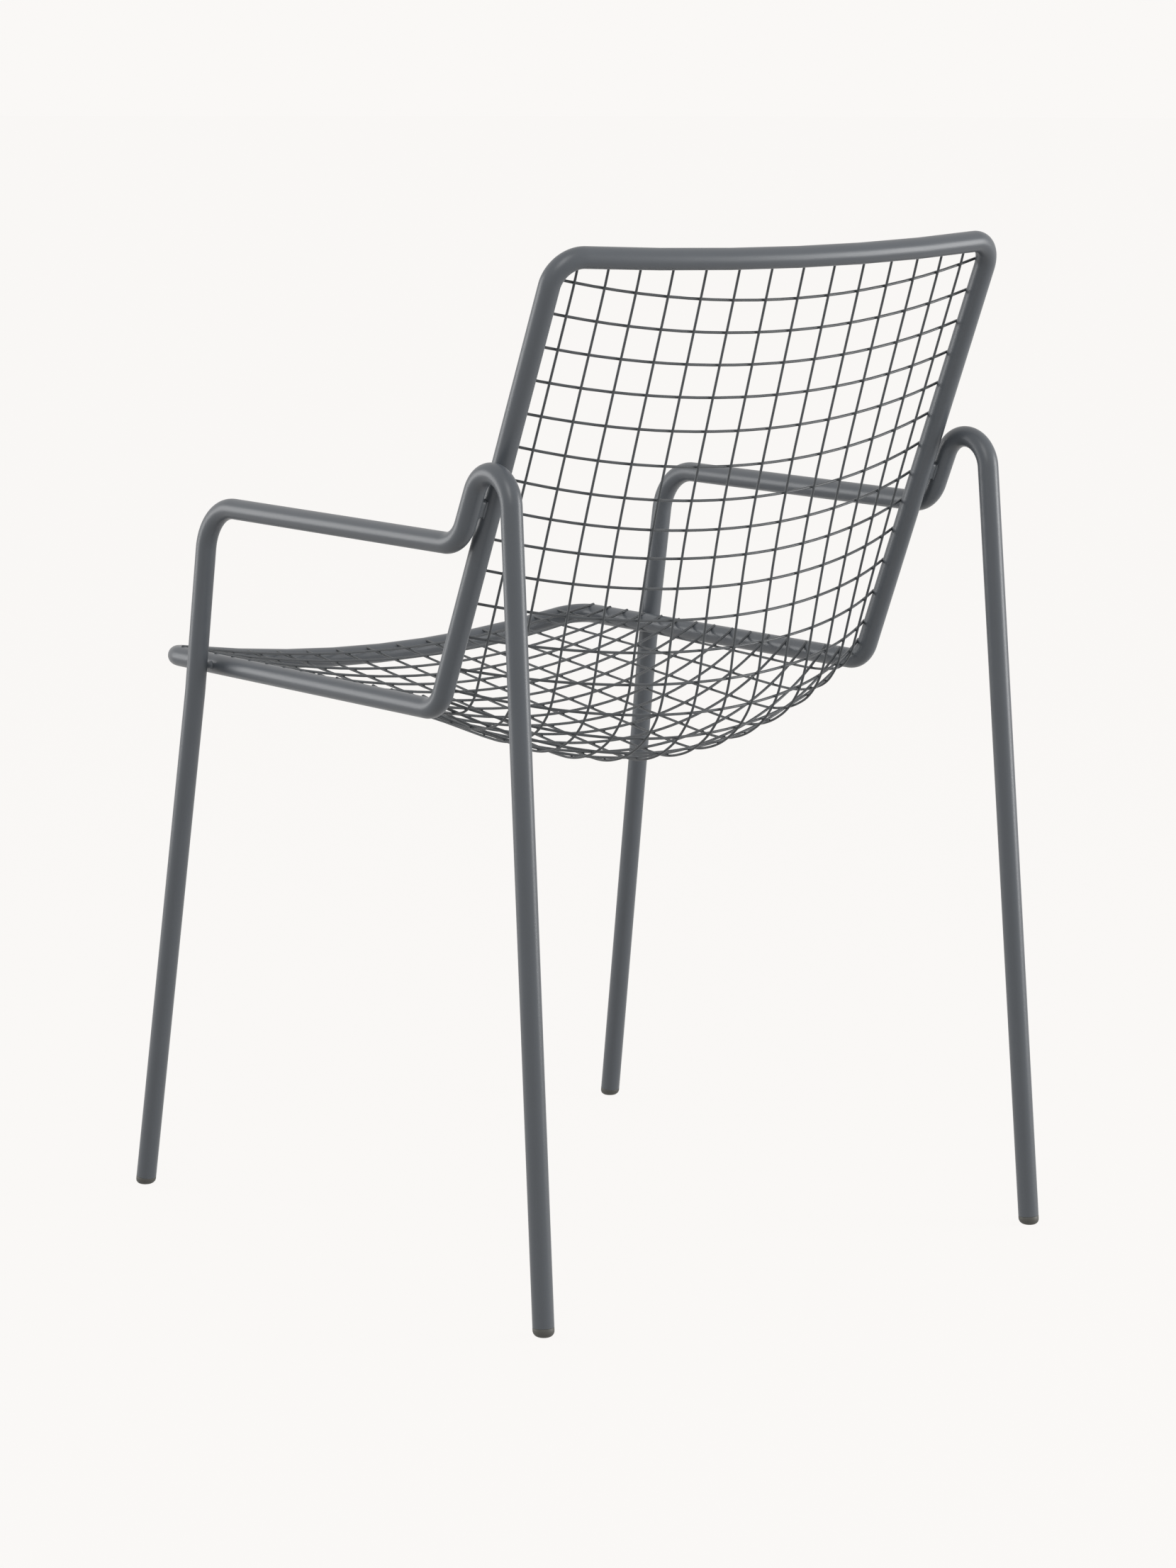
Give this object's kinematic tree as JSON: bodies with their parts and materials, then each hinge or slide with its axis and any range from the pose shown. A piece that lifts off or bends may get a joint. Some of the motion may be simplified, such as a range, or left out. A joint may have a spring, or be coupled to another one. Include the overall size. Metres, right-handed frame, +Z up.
{
  "type": "stacking garden chair",
  "caption": "Stacking garden armchair of bent round steel tube with a welded wire-grid bucket seat and back, bent side frames that form the arms and legs, and plastic foot glides.",
  "frame": {"origin": "on the floor under the middle of the chair's overall box", "axes": "+Z up from the floor, +X to the sitter's left, +Y to the chair's rear, so a sitter faces -Y"},
  "size_m": [0.5154, 0.5699, 0.8027],
  "materials": {
    "frame_coat": "satin powder coat, fine orange peel",
    "wire_coat": "satin powder coat",
    "glide_plastic": "matt moulded plastic",
    "bare_steel": "plain drawn tube"
  },
  "bodies": {
    "root": {"seat_back_frame": "frame_coat", "left_side_frame": "frame_coat", "right_side_frame": "frame_coat", "left_riser_spacer": "frame_coat", "right_riser_spacer": "frame_coat", "left_leg_spacer": "frame_coat", "right_leg_spacer": "frame_coat", "long_wire_01": "wire_coat", "long_wire_02": "wire_coat", "long_wire_03": "wire_coat", "long_wire_04": "wire_coat", "long_wire_05": "wire_coat", "long_wire_06": "wire_coat", "long_wire_07": "wire_coat", "long_wire_08": "wire_coat", "long_wire_09": "wire_coat", "long_wire_10": "wire_coat", "long_wire_11": "wire_coat", "long_wire_12": "wire_coat", "long_wire_13": "wire_coat", "long_wire_14": "wire_coat", "cross_wire_01": "wire_coat", "cross_wire_02": "wire_coat", "cross_wire_03": "wire_coat", "cross_wire_04": "wire_coat", "cross_wire_05": "wire_coat", "cross_wire_06": "wire_coat", "cross_wire_07": "wire_coat", "cross_wire_08": "wire_coat", "cross_wire_09": "wire_coat", "cross_wire_10": "wire_coat", "cross_wire_11": "wire_coat", "cross_wire_12": "wire_coat", "cross_wire_13": "wire_coat", "cross_wire_14": "wire_coat", "cross_wire_15": "wire_coat", "cross_wire_16": "wire_coat", "cross_wire_17": "wire_coat", "cross_wire_18": "wire_coat", "cross_wire_19": "wire_coat", "cross_wire_20": "wire_coat", "cross_wire_21": "wire_coat", "cross_wire_22": "wire_coat", "cross_wire_23": "wire_coat", "cross_wire_24": "wire_coat", "cross_wire_25": "wire_coat", "cross_wire_26": "wire_coat", "cross_wire_27": "wire_coat", "cross_wire_28": "wire_coat", "cross_wire_29": "wire_coat", "cross_wire_30": "wire_coat", "front_left_glide": "glide_plastic", "front_right_glide": "glide_plastic", "rear_left_glide": "glide_plastic", "rear_right_glide": "glide_plastic", "frame_joint_sleeve": "bare_steel"}
  },
  "joints": []
}
